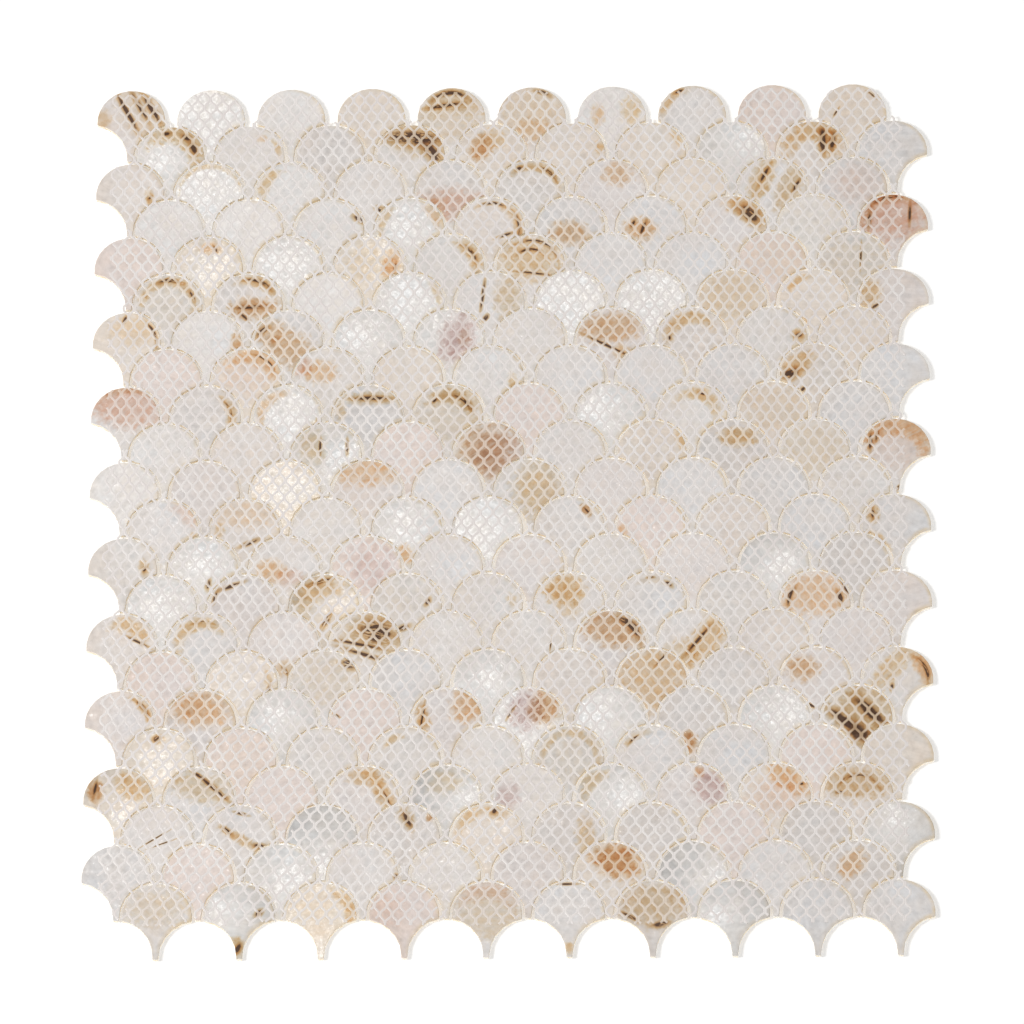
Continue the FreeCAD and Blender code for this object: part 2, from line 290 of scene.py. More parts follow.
MARKED = {
    (1, 1): [patch("tan", 3, 3.5, 10, 7, 0.45, -62), patch("tan", -9.5, 1, 2.6, 3.2, 0.88),
        line(-1.4, 3.4, 8.5, 0.8, -62), line(6.8, 4.8, 6, 1, -60, 0.75), line(2.8, 5.5, 5.5, 0.8, -60, 0.8)],
    (1, 5): [rim("tan", 20, 165, 7.5, 4.5, 1), patch("tan", 0, 0, 10, 7, 0.45),
        rim_line(55, 128, 9.6, 0.8, 0.9), line(-2.5, 5, 6, 0.7, 8)],
    (1, 6): [patch("orange", 0, -4, 5.5, 4, 0.69), patch("tan", 0, 3, 11, 8, 0.45),
        rim_line(55, 82, 10.2, 0.7, 0.9)],
    (1, 7): [patch("orange", -4.8, 1, 2, 3.5, 0.94), patch("amber", 6.5, 3, 3, 4.5, 0.75)],
    (1, 8): [rim("amber", 100, 180, 10, 1.4, 0.88), rim_line(106, 124, 10.4, 0.6)],
    (1, 10): [patch("tan", 0, 2, 12, 9, 0.2), line(-5.5, 1.2, 1.6, 0.3, 60), rim_line(40, 60, 10, 0.3, 0.7)],
    (2, 1): [rim("amber", -10, 130, 8.6, 2.8, 1.25), rim_line(10, 42, 8.6, 1.1, 1), rim_line(45, 66, 9.2, 1),
        rim_line(92, 108, 9.2, 0.7, 0.9)],
    (2, 2): [patch("orange", 4, 7.2, 1.6, 1.2, 0.62), rim("amber", 0, 40, 9.8, 0.9)],
    (2, 4): [patch("tan", 2, 5.5, 10.5, 4.8, 0.8, -8), line(1, 6.8, 9.5, 2.6, -6, 0.66),
        line(7, 1.4, 4, 2, -50, 0.72)],
    (2, 5): [patch("brown", -3.5, 3, 4.5, 3.2, 1.12, 65), patch("amber", 0.5, 6, 4, 3, 0.75)],
    (2, 6): [patch("amber", 9.4, 2.6, 1.6, 2.2, 0.88)], (2, 7): [rim("amber", 20, 50, 10, 0.9, 0.88)],
    (2, 9): [rim("amber", 10, 175, 8, 3, 1.12), patch("amber", 5, 4, 3.5, 5, 0.88),
        line(3.4, 4.6, 4.6, 1.2, 90, 0.95), line(6.8, 4.2, 3.4, 0.9, 80, 0.95)],
    (3, 1): [patch("amber", 6.6, -0.4, 1.3, 2.4, 1.25, 10), line(6.8, -0.8, 0.9, 0.35, 40, 1)],
    (3, 2): [rim("amber", 20, 160, 10.4, 0.8)], (3, 3): [rim("amber", 118, 185, 9.2, 1.7, 1.06)],
    (3, 4): [line(3.8, -6.2, 2, 1.1, -30, 0.6)],
    (3, 5): [patch("rose", 0, -4, 11, 5), patch("brown", -5, -4.5, 3, 3, 0.35)],
    (3, 6): [rim("amber", 10, 130, 9.4, 1.4, 0.94), rim_line(28, 70, 9.5, 0.5, 0.65),
        rim_line(108, 122, 9.6, 0.7, 0.9)],
    (3, 7): [patch("brown", 1.8, 6.4, 4.4, 3.6, 0.6)],
    (3, 9): [patch("amber", -3.5, 4, 7.5, 3, 1.25, 64), patch("tan", 6, 2, 8, 3.2, 1.25, 64),
        line(-2.6, 5.6, 3.4, 0.6, 62, 0.95), line(8, 1.4, 2.4, 0.6, 60)],
    (3, 10): [patch("rose", 1.5, 2, 9, 7, 0.35)],
    (4, 3): [line(9.8, 4.4, 2.2, 1.2, -35, 0.6)],
    (4, 4): [rim("orange", 5, 60, 9.6, 1.6, 0.88), rim("amber", 130, 190, 9.8, 1.2)],
    (4, 5): [rim("amber", -20, 70, 9.2, 1.6), rim_line(62, 112, 9.6, 0.55, 0.85),
        rim_line(-12, 40, 9.6, 0.6, 0.65), line(4.6, -2, 2.6, 0.5, 22, 0.8)],
    (4, 6): [patch("brown", -0.5, -1.5, 5.8, 4, 0.85, -15)],
    (4, 7): [patch("orange", -4, -0.5, 5, 3.8, 1.25), line(-3, 0, 2.6, 0.6, 70), line(-6.4, 1.6, 1.4, 0.5, 60)],
    (4, 8): [rim("amber", 0, 100, 8.2, 3, 1.12), line(5.6, 5, 4.2, 2.2, -38, 0.8)],
    (4, 9): [patch("cream", 0, 1, 11, 9, 0.3)],
    (4, 10): [patch("rose", -1, 5, 13, 10, 1.05), rim("brown", 60, 170, 10.6, 2, 0.5),
        line(-8.2, 2.2, 2.6, 0.6, 85, 0.8), line(5.4, 4.2, 3.2, 0.5, 88, 0.8),
        rim_line(75, 130, 10.6, 0.5, 0.55)],
    (5, 2): [patch("orange", 0.5, 7.6, 3.6, 2, 0.75), line(2.2, 7.2, 1.4, 0.35, -60, 0.8)],
    (5, 4): [patch("orange", 7.4, 1, 2.8, 5, 1.25, -10), patch("tan", -1, 2, 6, 6, 0.38),
        line(8.6, 0, 1.6, 0.4, 80, 0.6)],
    (5, 5): [rim("amber", -10, 75, 8.8, 2, 1.19), rim_line(10, 66, 8.9, 0.6, 0.7)],
    (5, 6): [patch("amber", -0.5, 3, 10, 7, 0.95), rim_line(50, 130, 6.2, 0.5, 0.75),
        rim_line(20, 120, 9.4, 0.5, 0.65), line(1, -2.5, 6, 0.4, -8, 0.7)],
    (5, 9): [patch("cream", 2, 2, 9, 7, 0.62)],
    (5, 10): [patch("cream", 0, 0, 12, 10, 0.9), line(2.4, 2.8, 3.8, 0.3, 88, 0.7)],
    (6, 1): [rim("amber", 0, 165, 9, 1.6, 1), patch("tan", 0, 1, 9, 7, 0.3), rim_line(66, 112, 9.5, 0.65, 0.9),
        rim_line(10, 40, 9, 0.5, 0.6)],
    (6, 2): [patch("brown", 1.5, -0.8, 6.5, 3.4, 1.06), rim("amber", 30, 110, 9.2, 1.8, 1),
        rim_line(38, 98, 9.6, 0.65, 0.85), line(0.5, -0.4, 5, 0.8, 3, 0.75), line(-1, -4, 2, 0.6, -40, 0.7)],
    (6, 4): [rim("amber", 0, 45, 10, 1)],
    (6, 5): [patch("tan", 5.6, 2.6, 4, 6.5, 0.94), line(-2.6, 3, 5.6, 0.5, 84, 0.8),
        line(-1.4, -5, 1.4, 0.7, 60, 0.8)],
    (6, 8): [patch("tan", 0, 2, 11, 8, 0.55)],
    (6, 9): [rim("amber", 95, 150, 9.2, 1.1, 0.88), patch("amber", -3.6, -8.4, 1.6, 2.4, 0.88)],
    (6, 10): [patch("amber", -8, 2.6, 3.2, 4.6, 1.06, -10), line(-6.4, -1.8, 1.8, 0.45, 35)],
    (7, 1): [patch("amber", 3.5, 5, 8, 5, 0.4), rim_line(-5, 50, 10, 0.5, 0.7), line(-0.8, 8.8, 1.4, 0.55, 70)],
    (7, 2): [rim("brown", -20, 20, 10, 1.8, 1)],
    (7, 3): [patch("brown", -0.5, -2, 7.5, 5.6, 0.72, -20), patch("orange", -6, 4, 5, 4, 0.7, 30),
        line(-8.5, 4.6, 2.6, 0.9, 40, 0.6)],
    (7, 5): [patch("mauve", 2.6, 1, 8, 5, 1.1, 72), patch("brown", 4.8, 1.4, 3, 2, 0.3, 80)],
    (7, 7): [patch("brown", 0, 4.6, 9, 4.8, 0.85, 4), line(-1.4, -1.8, 8.6, 0.45, -27),
        patch("amber", 4, -5, 3.4, 2.4, 0.8, -60)],
    (7, 8): [rim("amber", 42, 178, 8, 2.1, 1.12), rim_line(168, 182, 7.8, 0.8)],
    (7, 9): [patch("amber", 8.4, 1.4, 2, 2.2, 0.94), line(8.6, 1.4, 1.4, 0.9, 30, 0.6),
        line(4.6, -8.8, 1.8, 0.8, 70, 0.7)],
    (8, 2): [rim("orange", 5, 130, 9, 2.4, 1.05), patch("rose", -1, 2, 8, 6, 0.25, -20),
        rim_line(25, 75, 9.6, 0.4, 0.6)],
    (8, 3): [patch("orange", -2.6, 3, 5, 3.6, 0.88), patch("rose", -9, 5, 3, 3, 0.88)],
    (8, 5): [patch("amber", 7.6, -1.2, 1.4, 3.2, 0.75, 10)],
    (8, 9): [patch("amber", -5.4, 4, 5.2, 3.4, 1.12, 40), line(-7.8, 1, 2.8, 1.7, 20, 0.85),
        line(-3.8, -4.6, 1, 0.6, 50)],
    (9, 1): [patch("rose", 0, 5.4, 12, 7.5, 1, -8), rim("brown", 60, 130, 10.8, 1.4, 0.5)],
    (9, 2): [rim("amber", -20, 55, 8.6, 1.6, 0.94), rim_line(0, 45, 8.4, 0.35, 0.5)],
    (9, 3): [rim("orange", 95, 190, 9, 1.6, 0.81), line(9.6, -4.6, 3.4, 0.5, 88, 0.7)],
    (9, 4): [patch("amber", 0.6, 6.8, 7.5, 1.9, 1.06), line(0.8, 6.9, 6.2, 0.75, 0, 1),
        patch("amber", -9.2, 2.4, 1.6, 3, 0.75)],
    (9, 5): [rim("tan", 12, 138, 7.8, 2.6, 1.25), patch("cream", 0, 0, 10, 8), rim_line(16, 78, 7.8, 0.8, 0.6),
        rim_line(122, 138, 7.6, 0.6, 0.7)],
    (9, 8): [rim("amber", 5, 130, 7.8, 1.8, 1), rim_line(60, 75, 8.2, 0.4, 0.7)],
    (9, 9): [patch("cream", 0, 2, 11, 8)],
    (10, 3): [patch("tan", -5, 3, 4, 6, 0.75, 10), line(-2.4, 3.2, 2.8, 0.4, 90, 1),
        line(6.6, 3.2, 2.4, 0.5, 90, 1)],
    (10, 5): [patch("brown", -1.5, 1.2, 9, 9, 0.72), patch("mauve", 2, 0.5, 8, 7.5, 0.6)],
    (10, 7): [rim("amber", 5, 40, 10.2, 1.2, 0.88)], (10, 8): [patch("amber", 1.6, 5.4, 5.4, 3, 1.35)],
    (10, 9): [patch("cream", 0, 1, 11, 9, 1.1)],
    (10, 10): [rim("orange", 5, 160, 9.6, 3.4, 1.15), line(-8.6, 3.4, 2.8, 0.7, 88, 0.7),
        line(-6.4, 5.4, 1.8, 0.5, 80, 0.7), line(0.6, -13.2, 1, 0.4, 60), patch("rose", 0, 2, 9, 8, 0.3)],
    (11, 4): [patch("orange", -0.5, 8, 12, 4.4, 0.88), patch("rose", 0, 0, 10, 7, 0.15)],
    (11, 6): [patch("amber", 2.6, 1, 7, 8.6, 0.75)],
    (12, 1): [rim("rose", 10, 80, 9.6, 2, 0.5), patch("amber", 9.6, -2, 1.2, 1.8, 0.75)],
    (12, 2): [patch("orange", 0.5, 6, 10, 4, 0.4), line(1.4, -4, 3, 0.7, 24, 0.8),
        patch("amber", -8.4, 0.4, 1.6, 2, 0.8)],
    (12, 4): [patch("orange", -0.6, -8.4, 2, 3, 1.12, 10)],
    (12, 6): [patch("brown", 5.2, 6.8, 2.4, 1.4, 1.19, -50), line(5.6, 6.4, 1.4, 0.35, -50, 0.8)],
    (12, 7): [patch("orange", -9.6, -0.6, 1.6, 2, 0.88)],
    (12, 10): [patch("amber", -7.8, 4.6, 2, 2.8, 1.12), line(-7.8, 4.8, 1.6, 0.5, 88, 0.8),
        patch("amber", -6.4, -5, 2, 4.4, 0.88, 38), line(-6, -5.4, 3.6, 0.4, -50, 0.6)],
    (13, 1): [patch("amber", 7.2, 1, 1.6, 2.6, 1, 10), line(7.4, 0.6, 1.2, 0.6, 60)],
    (13, 2): [line(1.6, -5, 1.8, 0.8, 80, 0.6), line(8.4, -9, 2, 0.6, 20, 0.6)],
    (13, 3): [patch("orange", -4.4, -0.4, 4.4, 3.6, 1, -20), patch("rose", 1.5, -3, 4, 3, 0.7)],
    (13, 4): [patch("mauve", 2, 1, 7, 7, 0.38)],
    (14, 2): [line(-4.4, 7.8, 3.6, 0.7, 20, 0.85), line(-9.6, 4, 2, 0.6, 70, 0.85)],
    (14, 3): [rim("amber", 55, 195, 7.4, 3.2, 1.06), line(-1.5, 9, 4.4, 0.6, 16, 0.6),
        line(0.6, -4.8, 3, 0.9, 60, 0.6)],
    (14, 4): [patch("cream", -1.5, 4, 9, 7, 0.35), line(6.8, 1.8, 1.4, 0.8, 60),
        line(-1, -7.4, 2, 0.9, 20, 0.6)],
    (14, 5): [rim("amber", 0, 30, 8, 1.4, 0.5)],
    (14, 6): [patch("amber", -2, 5.6, 5.6, 4.8, 1.45), patch("amber", 0, -1, 3.4, 3, 0.5)],
    (14, 7): [rim("cream", 60, 120, 9, 1.2, 0.88), rim_line(44, 62, 9.2, 0.7), rim_line(86, 100, 9.8, 0.4)],
    (14, 9): [patch("orange", -1, 3.6, 11, 6.6, 0.95, -4), rim_line(0, 30, 8.4, 0.9, 0.85),
        rim_line(140, 185, 9, 0.7, 0.75), line(9.6, 6.8, 3.8, 0.8, -72, 1)],
    (15, 1): [rim("amber", 15, 110, 8, 2.2, 1), line(5.6, 1.8, 3.8, 0.45, -28, 0.85)],
    (15, 2): [rim("amber", 45, 175, 8, 2, 1), rim_line(70, 110, 8.6, 0.4, 0.5)],
    (15, 3): [patch("tan", 0, -8, 3, 2.6, 0.75), line(0.4, -8.6, 1.8, 0.5, -60, 0.7)],
    (15, 4): [patch("tan", 1.5, 3.5, 10, 7.5, 0.7), line(3.6, 4.8, 5.6, 4, -14, 0.58),
        line(-2.5, 0.4, 7.5, 0.55, -12, 0.95), line(0, -3.4, 7, 0.7, -18)],
    (15, 6): [line(7, 0, 1.8, 0.25, 84)],
    (15, 7): [patch("brown", 0, 5, 9.5, 5, 0.9, -20), rim_line(10, 80, 9.2, 1.3)],
    (15, 8): [patch("amber", 5.4, 2.4, 11, 4.2, 1.1, 52), line(1.8, 1.2, 5.4, 0.6, 50, 0.95),
        patch("tan", -4, -4, 5, 5, 0.7)],
    (16, 2): [rim("amber", -10, 30, 8.6, 1.2), line(8.6, -1.2, 1.4, 0.5, 70, 0.8)],
    (16, 3): [line(8, 6.8, 2.4, 1.6, -20, 0.6), patch("cream", 0, 2, 11, 9, 0.9)],
    (16, 7): [patch("amber", 1, 1.5, 12, 11, 0.85), line(3, 8, 3, 0.4, 50, 0.6)],
    (16, 9): [patch("brown", -4.4, 4.4, 4.8, 4, 0.81), line(-2, -8.6, 2, 0.5, -30, 0.8)],
    (16, 10): [patch("amber", -2, 4.5, 9.5, 3, 0.88, 52), rim("orange", -5, 60, 9.6, 2.6, 1.06),
        rim_line(-4, 50, 9.8, 0.6, 0.6), line(-2.2, -2.6, 1.2, 0.6, 80, 0.8)],
    (17, 1): [rim("amber", 10, 65, 9.6, 1.3, 1.06), rim_line(14, 58, 9.6, 0.6, 0.65)],
    (17, 2): [patch("orange", -1, 5, 10, 5.6, 1, -6), patch("brown", -2.5, 5.6, 4, 3, 0.3)],
    (17, 4): [line(-9.6, 2.4, 1.2, 0.4, -30, 0.7)],
    (17, 5): [patch("orange", 7, 5.6, 4.6, 5.6, 1.1, -30), patch("amber", -8.2, 1.6, 2, 5, 1.1, 8),
        line(-8.2, 2, 4, 0.4, 80)],
    (17, 6): [patch("brown", 5, 4.6, 4.4, 5.2, 1.06, -20), patch("mauve", -1, 4, 5, 6),
        line(-6, 3, 2.6, 0.4, 60, 0.6)],
    (17, 8): [patch("brown", -1.4, -8, 2.4, 3.6, 1.25, 10), line(3.4, -9.4, 1.2, 0.3, 80, 0.8)],
    (17, 10): [patch("tan", 1.5, 2.5, 9, 8.5, 1.3, 45), line(-3.6, -1.4, 8, 1.6, -40),
        line(4, 2.6, 7, 1.9, -45, 0.85), line(0.4, -4.8, 3.8, 2.8, -50, 0.95)],
    (18, 1): [line(-1, 8.2, 1.3, 0.9, 40), patch("amber", -0.6, 8, 2, 1.6, 0.75)],
    (18, 2): [patch("cream", 0, 0, 11, 10, 0.3)], (18, 4): [rim("amber", 100, 140, 8.6, 1.2, 0.88)],
    (18, 6): [rim("amber", 0, 180, 9.2, 1.3, 0.7), patch("tan", 0, 0, 9, 8, 0.25)],
    (18, 7): [rim_line(118, 142, 9.2, 0.4), rim("tan", 90, 160, 9.4, 1.2)],
    (19, 1): [patch("brown", -7.6, 3.4, 2.2, 4, 1.12, 10), patch("amber", 4.6, 5, 5.6, 3.6, 1.06, -30),
        line(-7.6, 4.2, 2.6, 0.5, 80, 0.8)],
    (19, 2): [patch("tan", 0.5, 4.8, 9.5, 4.6, 1, -14), line(4.4, 4.4, 7, 0.6, -40, 0.75),
        line(-0.5, 8.6, 2.4, 0.5, -30, 0.7)],
    (19, 4): [patch("amber", 5.4, 3.6, 2.6, 7, 1.12, 26), patch("amber", 0, 8, 5, 2.4, 0.88),
        line(7, 1, 3.4, 0.4, -62, 0.5)],
    (19, 5): [patch("tan", -1, 6, 6, 3.6, 0.56)], (19, 6): [patch("mauve", -6.6, 1, 3.4, 4.4, 0.69)],
    (19, 7): [rim("amber", 100, 180, 8.8, 2)],
    (19, 8): [patch("mauve", 5.4, 3.4, 4.4, 5.4, 0.9, 20), patch("orange", 1.8, 8.6, 1.6, 1.6)],
    (19, 9): [patch("orange", 4.2, 6.2, 7.2, 3.2, 1.19, -36), line(8.4, 4.4, 0.8, 0.5, 0, 1),
        patch("rose", 0, 0, 8, 6, 0.38)],
    (19, 10): [patch("tan", -0.5, 4.6, 11, 5, 1.35), rim_line(35, 140, 7.4, 0.5, 0.45), line(-6, 1.4, 1, 0.5)],
    (20, 1): [line(-1, 0.4, 4.4, 0.22, 32, 0.8), line(1.4, -1.4, 4, 0.2, 20, 0.8)],
    (20, 2): [patch("amber", 1, -0.6, 8, 1.5, 1, -32), line(-4.6, 3, 2, 0.7, -40, 0.8),
        line(0.2, 8.8, 2, 0.5, -16, 0.8), line(6, -2.4, 1.8, 0.8, -10, 0.7)],
    (20, 4): [line(0.8, 6.4, 3, 0.95, -62, 1), patch("brown", 8.2, 7, 1.2, 1.2, 1.12),
        patch("tan", 0.4, 6.8, 3.6, 2.4, 1, -62)],
    (20, 5): [rim("amber", 95, 175, 9.4, 1.6), line(2.4, 9.2, 1.2, 0.8, 60), patch("tan", 3, 8, 3, 2, 0.88)],
    (20, 6): [patch("amber", 5.4, 0, 2.8, 6, 0.75)],
    (21, 4): [line(10.6, 0.2, 0.7, 0.9)],
    (21, 7): [patch("brown", 2, 5.4, 7, 5.2, 1.5, -14), line(-9.4, -3, 1.8, 0.35)],
    (21, 10): [patch("orange", -2, 3.4, 5.2, 3.4, 1.12, 52)],
    (22, 1): [patch("amber", 0, 3, 9, 6, 0.38)],
    (22, 2): [line(6.4, 1.2, 1.5, 0.9, 40, 1), line(-0.4, -10.8, 2, 0.9, 60, 1),
        patch("amber", -1, -10.4, 2, 3, 1.12)],
    (22, 3): [rim("amber", -20, 60, 9.6, 1.8, 1.06), patch("cream", -2, 2, 8, 8, 0.56)],
    (22, 4): [patch("rose", -5, 2, 5, 5, 0.31, 40)],
    (22, 5): [rim("rose", 30, 150, 9, 3, 0.5), patch("cream", 0, 1, 11, 9, 1.4)],
    (22, 6): [line(-1, 10.6, 2.6, 0.4), patch("amber", -0.4, -11.6, 1.4, 1.8)],
    (22, 7): [patch("tan", 0.5, 3.4, 11, 6.6, 1.15), line(2.6, -3.4, 2.6, 0.9, 10, 0.7),
        line(-7.4, -0.6, 3, 0.5, -30, 0.7)],
}
# How many marks of each kind a chip has room for. What isn't used holds one of no strength, far off it.
MARK_SLOTS = {"stain": 2, "streak": 3}
NO_MARK = (90, 90, 0), (1, 1, 0), "amber"

# Chips whose layers of nacre lean towards the lamp, so that it gleams on them: where on the chip, and how
# much the slope of the layers changes in a millimetre. The more it changes, the smaller the gleam.
GLEAMING = {
    (1, 2): (0, 2, 0.01), (2, 1): (-3, -2, 0.04), (2, 8): (8, 5, 0.034), (3, 2): (0, 1, 0.01),
    (4, 4): (-1, 1, 0.035), (5, 2): (2, -2, 0.026), (5, 3): (0, 0, 0.022), (5, 4): (10, 3, 0.018),
    (6, 4): (0, 1, 0.022), (6, 6): (-2, 1, 0.01), (6, 7): (4, 2, 0.01), (7, 4): (-2, 2, 0.034),
    (7, 5): (8, 3, 0.021), (9, 3): (1, 0, 0.022), (9, 7): (-5, 2, 0.034), (10, 3): (9, -6, 0.024),
    (11, 3): (0, 0, 0.01), (12, 4): (0, 2, 0.036), (12, 5): (-4, 2, 0.017), (13, 2): (0, 2, 0.032),
    (13, 9): (2, 0, 0.046), (14, 1): (0, 1, 0.03), (14, 3): (6, 2, 0.05), (16, 5): (0, 2, 0.042),
    (17, 3): (-2, 4, 0.048), (17, 6): (-7, 2, 0.012), (17, 7): (-7, 3, 0.03), (17, 9): (2, 3, 0.03),
    (18, 1): (2, 0, 0.028), (19, 1): (4, -3, 0.04), (19, 5): (9, 2, 0.045), (19, 7): (4, 2, 0.042),
    (20, 3): (0, -9, 0.045), (20, 10): (-2, 6, 0.06), (21, 3): (5, 1, 0.03), (21, 8): (8, 0, 0.05),
    (22, 2): (-6, 3, 0.054), (22, 3): (-3, 0, 0.01), (22, 8): (-7, 0, 0.054),
}
# How far the layers lean so that the lamp shines straight back to someone looking down at the sheet.
LAMP_LEAN = Vector((-0.345, -0.30))

# Most chips take one of six whites by chance. These are bluish, blushing, warm in their gleam, pale or dull.
NACRE_COLOURS = ["#e6e2df", "#e7e3df", "#e8e1db", "#e5e3e2", "#eae1d7", "#e7e1de"]
BLUISH = {(2, 10), (3, 10), (5, 7), (5, 8), (7, 2), (8, 10), (11, 8), (12, 9), (18, 8), (21, 1), (22, 9),
          (22, 10)}
BLUSHING = {(1, 9), (5, 1), (5, 9), (6, 3), (8, 1), (9, 6), (10, 4), (12, 7), (13, 4), (16, 1), (17, 4),
            (18, 2), (18, 9), (19, 3), (20, 8), (21, 2), (22, 4)}
WARM_GLEAMING = {(5, 2), (5, 4), (11, 3), (14, 3), (18, 1), (19, 1), (22, 3)}
PALE = {(1, 3), (1, 7), (3, 3), (4, 1), (4, 2), (4, 3), (4, 9), (6, 3), (7, 2), (8, 5), (10, 1), (11, 1)}
DULL = {(10, 8), (13, 10), (17, 8), (20, 4), (20, 6), (20, 7), (20, 9), (21, 10), (22, 7)}

# How far a chip is laid off its place, in millimetres and degrees, how far its layers lean by chance, and
# how much at most their slope changes in a millimetre.
LAID_OFF, LAID_TURN = 0.07, 0.5
CHANCE_LEAN, CHANCE_CURVE = 0.07, 0.004


def set_everywhere(mesh, name, value):
    """Gives every point of a chip the same three numbers, for its material to read."""
    spread = mesh.attributes.new(name, "FLOAT_VECTOR", "POINT")
    spread.data.foreach_set("vector", np.tile(np.array(value, np.float32), len(mesh.vertices)))


def nacre_tint(chip, chance):
    """The white of a chip. A gleam, and what is pale or dull, goes before the rest."""
    if chip in BLUISH:
        tint = "#e4e3e3"
    elif chip in BLUSHING:
        tint = "#ebdfd9"
    else:
        tint = chance.choice(NACRE_COLOURS)
    if chip in GLEAMING:
        tint = "#ebe2d6" if chip in WARM_GLEAMING else "#e6e5e3"
    if chip in PALE:
        tint = "#efedeb"
    if chip in DULL:
        tint = "#dcd7d3"
    return to_linear(tint)


def lay_chip(row, number, chance):
    """A copy of the pattern chip in its place in the sheet, with its own figure."""
    mesh = pattern_chip.data.copy()
    place = mesh.attributes.new("chip_place", "FLOAT_VECTOR", "POINT")
    points = np.array([v.co for v in mesh.vertices]) / MM
    points[:, 2] = chance.uniform(5, 95)  # Where its patterns are taken from, so that no two chips are alike.
    place.data.foreach_set("vector", points.astype(np.float32).ravel())
    set_everywhere(mesh, "nacre_tint", nacre_tint((row, number), chance))
    growth_turn = radians(chance.uniform(-80, 80))
    set_everywhere(mesh, "growth", (growth_turn, chance.uniform(0.2, 1.0), chance.uniform(0, 1)))
    lean = Vector((chance.gauss(0, CHANCE_LEAN), chance.gauss(0, CHANCE_LEAN)))
    curve = chance.uniform(0, CHANCE_CURVE)
    if (row, number) in GLEAMING:
        gleam_x, gleam_y, curve = GLEAMING[row, number]
        lean = LAMP_LEAN + Vector((gleam_x, gleam_y)) * curve
    set_everywhere(mesh, "nacre_lean", (lean.x, lean.y, curve))
    for kind, slots in MARK_SLOTS.items():
        found = [mark[1:] for mark in MARKED.get((row, number), []) if mark[0] == kind]
        for slot, (where, reach, colour) in enumerate((found + [NO_MARK] * slots)[:slots], 1):
            set_everywhere(mesh, f"{kind}_{slot}_place", where)
            set_everywhere(mesh, f"{kind}_{slot}_reach", reach)
            if kind == "stain":
                set_everywhere(mesh, f"stain_{slot}_tint", to_linear(SKIN_COLOURS[colour]))
    turn = Matrix.Rotation(radians(chance.gauss(0, LAID_TURN)), 4, "Z")
    x, y = (middle + chance.gauss(0, LAID_OFF) for middle in dome_middle(row, number))
    mesh.transform(Matrix.Translation((x * MM, y * MM, 0)) @ turn)
    # A chip that comes to lie past its row's solid is pushed back in.
    low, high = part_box(f"chip_row_{row:02d}")
    xs = [v.co.x for v in mesh.vertices]
    ys = [v.co.y for v in mesh.vertices]
    back_x = max(0, low.x - min(xs)) - max(0, max(xs) - high.x)
    back_y = max(0, low.y - min(ys)) - max(0, max(ys) - high.y)
    mesh.transform(Matrix.Translation((back_x, back_y, 0)))
    return new_object(f"chip_{row}_{number}", mesh)


def mark_local(tree, slot, flat, bent):
    """Where a point lies in a mark's own directions, and the mark's reach, both in millimetres."""
    where = add_node(tree, "Attribute", attribute_name=slot + "_place").outputs["Vector"]
    reach = add_node(tree, "Attribute", attribute_name=slot + "_reach").outputs["Vector"]
    follows_dome = add_node(tree, "Math", {0: add_node(tree, "SeparateXYZ", {0: reach}), 1: 0.0},
                            operation="LESS_THAN")
    spot = add_node(tree, "Mix", {0: follows_dome, 4: flat, 5: bent}, data_type="VECTOR")
    offset = add_node(tree, "VectorMath", {0: spot.outputs[1], 1: where}, operation="SUBTRACT")
    turn = add_node(tree, "SeparateXYZ", {0: where}).outputs[2]
    turned = add_node(tree, "VectorRotate", {"Vector": offset, "Angle": turn}, rotation_type="Z_AXIS",
                      invert=True)
    local = add_node(tree, "VectorMath", {0: turned, 1: (1, 1, 0)}, operation="MULTIPLY")
    return local, reach


def mark_mask(tree, local, reach, ragged, roughness, solid, empty):
    """1 inside a mark and 0 outside it, with an edge made ragged by noise. solid and empty are shares of
    its reach."""
    share = add_node(tree, "VectorMath", {0: local, 1: reach}, operation="DIVIDE")
    distance = add_node(tree, "VectorMath", {0: share}, operation="LENGTH").outputs["Value"]
    wobble = add_node(tree, "Math", {0: ragged, 1: roughness, 2: -0.5 * roughness}, operation="MULTIPLY_ADD")
    edge = add_node(tree, "Math", {0: distance, 1: wobble}, operation="ADD")
    return add_node(tree, "MapRange", {0: edge, 1: solid, 2: empty, 3: 1.0, 4: 0.0},
                    interpolation_type="SMOOTHSTEP")


